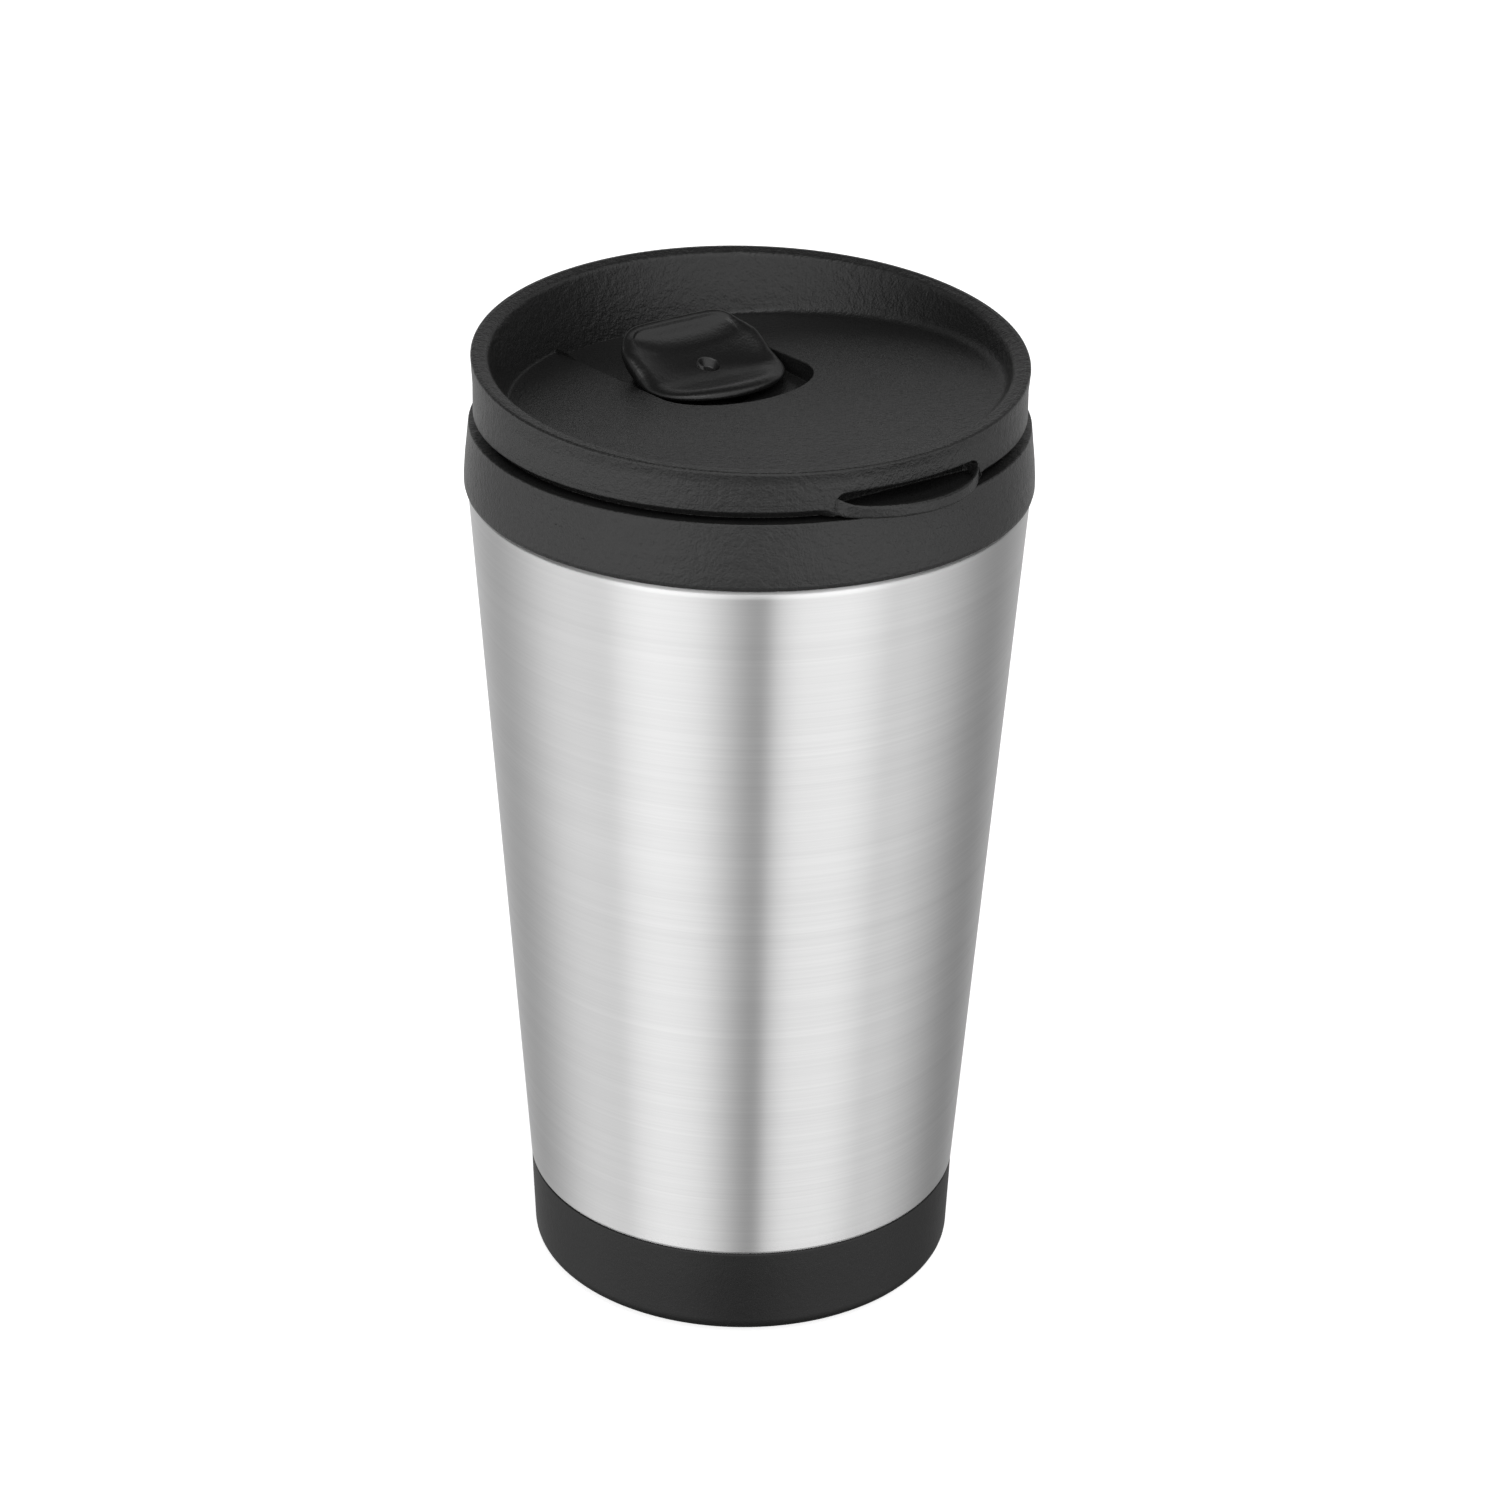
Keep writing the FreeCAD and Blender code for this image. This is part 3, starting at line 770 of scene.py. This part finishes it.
def tub_outline():
    """Plan points and outward normals of the tub under the tray, counter-clockwise from its back."""
    tub = []
    tub_half = SLOT_HALF + SLOT_WALL
    reach = TUB_REACH
    corner = math.asin(tub_half / reach)
    for k in range(25):
        a = math.pi / 2 - corner + 2 * corner * k / 24
        tub.append(((reach * math.cos(a), reach * math.sin(a)), (math.cos(a), math.sin(a))))
    top_y = reach * math.cos(corner)
    for y in np.linspace(top_y, SLOT_END_Y, 8)[1:-1]:
        tub.append(((-tub_half, y), (-1.0, 0.0)))
    for k in range(41):
        tub.append(oval_point(tub_half, SLOT_END_Y, SLOT_END_LEN + SLOT_WALL, math.pi + math.pi * k / 40))
    for y in np.linspace(SLOT_END_Y, top_y, 8)[1:-1]:
        tub.append(((tub_half, y), (1.0, 0.0)))
    return tub


def add_tub(bm, around):
    """Tub under the tray, joined to the loop of vertices around it; gives back its lower loop."""
    plan = tub_outline()
    rows = []
    # the first two rows keep to the tray's underside, the others to the tub's flat floor
    for grow, rise, on_tray in ((0.2, 0.0, True), (0.0, -0.2, True), (0.0, 0.5, False), (-0.15, 0.15, False),
                                (-0.5, 0.0, False)):
        line = []
        for (x, y), (nx, ny) in plan:
            px = x + nx * grow
            py = y + ny * grow
            line.append((px, py, (under_z(px, py) if on_tray else TUB_Z) + rise))
        rows.append(add_row(bm, line))
    skin(bm, rows, wrap_cols=True)
    fill_loops(bm, [(around, True), (rows[0], True)])
    return rows[-1]


make_object("LidMoulding", lid_body(), "lid", ["lid_body"], LID_PLASTIC)


# ---------------------------------------------------------------- thumb slide

SLIDE_HALF = 12.3
SLIDE_FRONT = 1.2
SLIDE_FRONT_LEN = 9.6
SLIDE_BACK = 21.4
SLIDE_CORNER = 6.5         # plan radius of the back corners
SLIDE_SKIRT = 145.75       # lower edge of the slide's border
SLIDE_LOW = 144.75         # underside of the block under the plate
SLIDE_BORDER = 2.5         # border of the plate round the block, at the front and sides and at the back
SLIDE_BACK_BORDER = 0.4
BLOCK_CORNER = 5.0
ROLL_WIDTH = (2.5, 0.8)    # rounding of the plate's edge: at the front and sides, and behind the ridge
ROLL_DEPTH = (2.0, 0.8)
CREASE = 0.25              # depth of the crease behind the ridge
DIMPLE = (0.8, 12.5)       # dimple in the thumb scoop and its depth, and the nub at its edge
DIMPLE_DEPTH = 1.1
NUB = (0.05, 13.1)
NUB_RISE = 0.8
PAD_ROOM = (7.7, 14.3, 20.0, 2.7)   # recess of the seal: half width, Y from and to, corner
PAD_ROOF = 145.9
LEG_Y = 10.8
LEG_R = 2.1
PEG_R = 1.6
# Height of the top along Y: down the middle, through the thumb scoop up to the ridge, and at the sides.
MIDDLE = [(-2.0, 147.2), (1.2, 147.2), (3.5, 147.02), (6.0, 146.62), (8.5, 146.38), (10.5, 146.5)]
MIDDLE += [(12.4, 146.92), (14.0, 147.5), (15.5, 148.2), (17.3, 149.1), (18.2, 149.75), (19.0, 150.5)]
MIDDLE += [(19.7, 151.4), (20.2, 151.95), (20.6, 152.25), (21.0, 152.4), (21.4, 152.4)]
SIDES = [(-2.0, 147.0), (1.2, 147.05), (4.0, 146.95), (8.0, 146.95), (9.7, 147.3), (11.3, 148.2)]
SIDES += [(14.0, 149.9), (17.3, 151.4), (19.8, 152.0), (21.4, 152.1)]
# Height of the border's lower edge: the plate curls up towards the ridge.
UNDER = [(-2.0, SLIDE_SKIRT), (8.0, SLIDE_SKIRT), (10.4, 145.95), (12.6, 146.5), (14.8, 147.5)]
UNDER += [(16.5, 148.6), (18.5, 149.4), (21.4, 149.8)]
SIDE_POWER = 2.6           # how late the top turns from the middle's height to the sides'


def curve(points):
    """Smooth curve through (position, height) points."""
    ys = np.array([p[0] for p in points])
    zs = np.array([p[1] for p in points])
    slope = np.gradient(zs, ys)

    def height(y):
        y = min(max(y, ys[0]), ys[-1])
        i = min(int(np.searchsorted(ys, y, side="right")) - 1, len(ys) - 2)
        w = ys[i + 1] - ys[i]
        u = (y - ys[i]) / w
        h00 = (1 + 2 * u) * (1 - u) ** 2
        h10 = u * (1 - u) ** 2
        h01 = u * u * (3 - 2 * u)
        h11 = u * u * (u - 1)
        return h00 * zs[i] + h10 * w * slope[i] + h01 * zs[i + 1] + h11 * w * slope[i + 1]

    return height


def slide_outline(half, tip, back, corner, front_len, back_count=80):
    """Plan of the slide as (point, outward normal): front tip, +X side, back, -X side."""
    straight_y = tip + front_len
    end = back - corner
    right = [((0.0, tip), (0.0, -1.0))]
    for a in quarter_turn(44)[1:]:
        right.append(oval_point(half, straight_y, front_len, a - math.pi / 2))
    for k in range(1, 46):
        right.append(((half, straight_y + (end - straight_y) * k / 45), (1.0, 0.0)))
    flat = half - corner
    for a in quarter_turn(30)[1:]:
        c = math.cos(a)
        s = math.sin(a)
        right.append(((flat + corner * c, end + corner * s), (c, s)))
    across = []
    for k in range(1, back_count):
        across.append(((flat - 2 * flat * middle_heavy(k / back_count), back), (0.0, 1.0)))
    left = [((-x, y), (-nx, ny)) for (x, y), (nx, ny) in reversed(right[1:])]
    return right, across, left


def middle_heavy(u):
    """Share along a row, with the steps closer together near its middle."""
    return u + 0.75 * math.sin(2 * math.pi * u) / (2 * math.pi)


slide_middle = curve(MIDDLE)
slide_sides = curve(SIDES)
slide_lower = curve(UNDER)


def slide_height(x, y):
    share = min(1.0, abs(x) / SLIDE_HALF) ** SIDE_POWER
    return slide_middle(y) * (1 - share) + slide_sides(y) * share


def slide_top(x, y):
    """Height of the slide's face, with the dimple and its nub."""
    z = slide_height(x, y)
    z -= DIMPLE_DEPTH * smooth(1.8, 1.1, math.hypot(x - DIMPLE[0], y - DIMPLE[1]))
    z += NUB_RISE * smooth(0.8, 0.2, math.hypot(x - NUB[0], y - NUB[1]))
    return z


def slider():
    bm = bmesh.new()
    lower_loop = add_slide_plate(bm)
    add_slide_underside(bm, lower_loop)
    return bm


def add_slide_plate(bm):
    """Curled plate: rolled edges and the face between them; gives back the loop round its lower edge."""
    right, across, left = slide_outline(SLIDE_HALF, SLIDE_FRONT, SLIDE_BACK, SLIDE_CORNER, SLIDE_FRONT_LEN)
    ring = right + across + left
    # each ring: share of the rounding's width, share of its depth, extra inset, share of the crease
    section = []
    for a in quarter_turn(12):
        section.append((1 - math.cos(a), 1 - math.sin(a), 0.0, 0.0))
    for extra, crease in ((0.3, 0.0), (0.42, 0.1), (0.5, 0.9), (0.62, 1.0), (0.8, 1.0)):
        section.append((1.0, 0.0, extra, crease))
    loops = []
    for inset, rise in ((0.3, 0.0), (0.08, 0.06), (0.0, 0.2)):
        line = [(x - nx * inset, y - ny * inset, slide_lower(y) + rise) for (x, y), (nx, ny) in ring]
        loops.append(add_row(bm, line))
    for wide, deep, extra, crease in section:
        line = []
        for (x, y), (nx, ny) in ring:
            behind = smooth(15.0, 20.0, y) * smooth(0.3, 0.97, ny)
            width = ROLL_WIDTH[0] + (ROLL_WIDTH[1] - ROLL_WIDTH[0]) * behind
            room = slide_height(x, y) - slide_lower(y) - 0.3
            depth = min(ROLL_DEPTH[0] + (ROLL_DEPTH[1] - ROLL_DEPTH[0]) * behind, room)
            px = x - nx * (width * wide + extra)
            py = y - ny * (width * wide + extra)
            line.append((px, py, slide_height(px, py) - depth * deep - CREASE * behind * crease))
        loops.append(add_row(bm, line))
    skin(bm, loops, wrap_cols=True)

    # face between the paired sides
    last = loops[-1]
    n_right = len(right)
    cells = len(across) + 1
    grid = []
    for i in range(1, n_right - 1):
        a = last[i]
        b = last[len(last) - i]
        line = [a]
        for k in range(1, cells):
            u = middle_heavy(k / cells)
            x = a.co.x + (b.co.x - a.co.x) * u
            y = a.co.y
            base = a.co.z + (b.co.z - a.co.z) * u
            at_a = slide_height(a.co.x, y)
            chord = at_a + (slide_height(b.co.x, y) - at_a) * u
            line.append(bm.verts.new((x, y, base + slide_top(x, y) - chord)))
        line.append(b)
        grid.append(line)
    grid.append(last[n_right - 1:n_right + cells])
    skin(bm, grid)
    tip = last[0]
    for k in range(cells):
        bm.faces.new((tip, grid[0][k + 1], grid[0][k]))
    return loops[0]


def add_slide_underside(bm, lower_loop):
    """Border, block with the seal's recess, and the leg with its peg."""
    under = [lower_loop]
    right, across, left = slide_outline(SLIDE_HALF - SLIDE_BORDER, SLIDE_FRONT + SLIDE_BORDER,
                                        SLIDE_BACK - SLIDE_BACK_BORDER, BLOCK_CORNER,
                                        SLIDE_FRONT_LEN - SLIDE_BORDER)
    low = SLIDE_LOW
    for inset, z in ((0.0, None), (0.02, low + 0.6), (0.02, low + 0.12), (0.15, low)):
        line = []
        for (x, y), (nx, ny) in right + across + left:
            line.append((x - nx * inset, y - ny * inset, slide_lower(y) if z is None else z))
        under.append(add_row(bm, line))
    skin(bm, under, wrap_cols=True)
    recess = []
    for grow, z in ((0.15, low), (0.0, low + 0.1), (0.0, PAD_ROOF)):
        recess.append(add_row(bm, [(x, y, z) for x, y in round_rect(*PAD_ROOM, grow)]))
    skin(bm, recess, wrap_cols=True)
    leg = []
    for r, z in ((LEG_R + 0.3, low), (LEG_R, low - 0.3), (LEG_R, 142.45), (PEG_R, 142.42), (PEG_R, 140.6),
                 (PEG_R - 0.3, 140.4)):
        leg.append(add_row(bm, [(x, LEG_Y + y, z) for x, y in circle(r, 40)]))
    skin(bm, leg, wrap_cols=True)
    fill_loops(bm, [(under[-1], True), (recess[0], True), (leg[0], True)])
    fill_loops(bm, [(recess[-1], True)])
    fill_loops(bm, [(leg[-1], True)])


make_object("ThumbSlide", slider(), "thumb_slide", ["slider"], SLIDE_PLASTIC)

# The hidden pieces keep their CAD meshes.
for node, look in (("shell_bottom", LINER_STEEL), ("collar_seal", SEAL_RUBBER), ("slider_seal", SEAL_RUBBER),
                   ("slider_clip", SLIDE_PLASTIC)):
    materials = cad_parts[node].data.materials
    materials.clear()
    materials.append(look)


# ---------------------------------------------------------------- floor, lights, camera

FLOOR_Z = -0.0002          # metres, like everything below
FLOOR_RINGS = (0.06, 0.2, 0.6, 1.6)
FLOOR_GLOW = 0.75


def floor_sheet():
    bm = bmesh.new()
    rings = [add_row(bm, [(x, y, FLOOR_Z) for x, y in circle(r, 96)]) for r in FLOOR_RINGS]
    skin(bm, rings, wrap_cols=True)
    fill_loops(bm, [(rings[0], True)])
    bmesh.ops.recalc_face_normals(bm, faces=bm.faces)
    mesh = bpy.data.meshes.new("StudioFloor")
    bm.to_mesh(mesh)
    bm.free()
    material, shader = new_material("floor_look")
    g = Graph(material)
    paper = g.noise(g.coord, 400, 2.0, 0.5)
    g.link(g.ramp(paper, [(0.3, 0.86), (0.7, 0.88)]), shader.inputs["Base Color"])
    shader.inputs["Roughness"].default_value = 0.9
    shader.inputs["Specular IOR Level"].default_value = 0.1
    shader.inputs["Emission Color"].default_value = (1, 1, 1, 1)
    shader.inputs["Emission Strength"].default_value = FLOOR_GLOW
    mesh.materials.append(material)
    floor = bpy.data.objects.new("StudioFloor", mesh)
    scene.collection.objects.link(floor)
    floor.visible_glossy = False


floor_sheet()

VIEW_AZIMUTH = -35.0       # degrees; 0 looks along +Y
VIEW_ELEVATION = 0.44785   # radians
VIEW_ROLL = 0.012574
VIEW_DISTANCE = 0.65915
LENS = 100.70              # millimetres, on a sensor of full width
SENSOR = 36
AIM_ACROSS = 0.000602      # the point aimed at: to the camera's right of the axis, and over the floor
AIM_HEIGHT = 0.086721


def add_camera():
    azimuth = math.radians(VIEW_AZIMUTH)
    sa = math.sin(azimuth)
    ca = math.cos(azimuth)
    se = math.sin(VIEW_ELEVATION)
    ce = math.cos(VIEW_ELEVATION)
    back = Vector((sa * ce, -ca * ce, se))
    across = Vector((ca, sa, 0))
    up = back.cross(across)
    cr = math.cos(VIEW_ROLL)
    sr = math.sin(VIEW_ROLL)
    right = across * cr + up * sr
    upward = up * cr - across * sr
    data = bpy.data.cameras.new("Camera")
    data.lens = LENS
    data.sensor_width = SENSOR
    data.clip_start = 0.02
    data.clip_end = 20
    camera = bpy.data.objects.new("Camera", data)
    scene.collection.objects.link(camera)
    turn = Matrix((right, upward, back)).transposed()
    aim = across * AIM_ACROSS + Vector((0, 0, AIM_HEIGHT))
    camera.matrix_world = Matrix.Translation(aim + back * VIEW_DISTANCE) @ turn.to_4x4()
    scene.camera = camera


add_camera()

# The studio is a ring of soft panels: bright sheets, dark gaps and grey ends, by bearing round the mug
# from the camera's side, in degrees, with the light that each sends.
STUDIO = [(-180, 0.85), (-152, 0.80), (-134, 0.68), (-118, 0.82), (-103, 1.22), (-90, 1.68), (-79, 1.86)]
STUDIO += [(-68, 1.72), (-58, 1.60), (-54, 2.00), (-39, 2.18), (-30, 2.06), (-21, 1.80), (-12, 1.20)]
STUDIO += [(-3.5, 0.56), (4, 0.14), (8, 0.18), (12, 1.20), (22, 1.88), (41, 1.97), (56, 1.74), (60, 1.44)]
STUDIO += [(70, 1.60), (81, 1.42), (93, 1.12), (106, 0.72), (122, 0.48), (145, 0.58), (165, 0.80)]
# Above the mug's foot: a broad window in front, dark sides, a pale strip low at the back, and a soft box
# overhead that reaches from the front to the sides.
LOW_ROOM = [(-180, 0.62), (-140, 0.56), (-118, 0.06), (-80, 0.05), (-58, 0.9), (-44, 1.9), (44, 1.9)]
LOW_ROOM += [(58, 0.9), (80, 0.05), (118, 0.06), (140, 0.56), (180, 0.62)]
HIGH_ROOM = [(-180, 0.06), (-128, 0.08), (-106, 0.55), (-50, 0.7), (-25, 1.3), (50, 1.4), (106, 1.45)]
HIGH_ROOM += [(126, 0.08), (180, 0.06)]
# Heights below are those of a unit direction, from -1 straight down to 1 straight up.
RING_FADE = (0.12, 1.62, -0.9, 0.1)     # the ring's light at two heights, and the heights
ROOM_TURN = (0.42, 0.64)                # where the low room turns into the high room
RING_TURN = (-0.04, 0.07)               # where the ring turns into the room


def studio_world():
    world = bpy.data.worlds.new("Studio")
    scene.world = world
    world.use_nodes = True
    world.node_tree.nodes.clear()
    g = Graph(world, "Generated")
    split = g.node("ShaderNodeSeparateXYZ")
    g.link(g.coord, split.inputs[0])
    height = split.outputs[2]
    bearing = g.math("ARCTAN2", split.outputs[1], split.outputs[0])
    from_camera = (90 - VIEW_AZIMUTH) / 360 + 0.5
    share = g.math("FRACT", g.math("ADD", g.math("DIVIDE", bearing, 2 * math.pi), from_camera))

    def by_bearing(stops):
        return g.ramp(share, [((degrees + 180) / 360, level) for degrees, level in stops])

    def blend(part, a, b):
        """a where part is 0, b where it is 1."""
        kept = g.math("MULTIPLY", a, g.math("SUBTRACT", 1.0, part))
        return g.math("ADD", kept, g.math("MULTIPLY", b, part))

    below = g.math("MULTIPLY", by_bearing(STUDIO), g.remap(height, *RING_FADE))
    over_head = g.remap(height, 0.0, 1.0, *ROOM_TURN, "SMOOTHSTEP")
    above = blend(over_head, by_bearing(LOW_ROOM), by_bearing(HIGH_ROOM))
    over_foot = g.remap(height, 0.0, 1.0, *RING_TURN, "SMOOTHSTEP")
    glow = g.node("ShaderNodeBackground")
    g.link(blend(over_foot, below, above), glow.inputs["Strength"])
    plain = g.node("ShaderNodeBackground")
    plain.inputs["Strength"].default_value = 1.0
    path = g.node("ShaderNodeLightPath")
    mix = g.node("ShaderNodeMixShader")
    g.link(path.outputs["Is Camera Ray"], mix.inputs[0])
    g.link(glow.outputs[0], mix.inputs[1])
    g.link(plain.outputs[0], mix.inputs[2])
    out = g.node("ShaderNodeOutputWorld")
    g.link(mix.outputs[0], out.inputs[0])


studio_world()


def soft_light(name, azimuth, elevation, distance, size, watts):
    """Square area light that faces the mug's middle."""
    data = bpy.data.lights.new(name, "AREA")
    data.shape = "SQUARE"
    data.size = size
    data.energy = watts
    light = bpy.data.objects.new(name, data)
    a = math.radians(azimuth)
    e = math.radians(elevation)
    away = Vector((math.sin(a) * math.cos(e), -math.cos(a) * math.cos(e), math.sin(e)))
    light.location = Vector((0, 0, 0.1)) + away * distance
    light.rotation_mode = "QUATERNION"
    light.rotation_quaternion = away.to_track_quat("Z", "Y")
    scene.collection.objects.link(light)
    light.visible_camera = False


soft_light("KeyLight", azimuth=-40, elevation=72, distance=1.2, size=0.6, watts=2.0)

scene.view_settings.view_transform = "Standard"
scene.view_settings.look = "None"
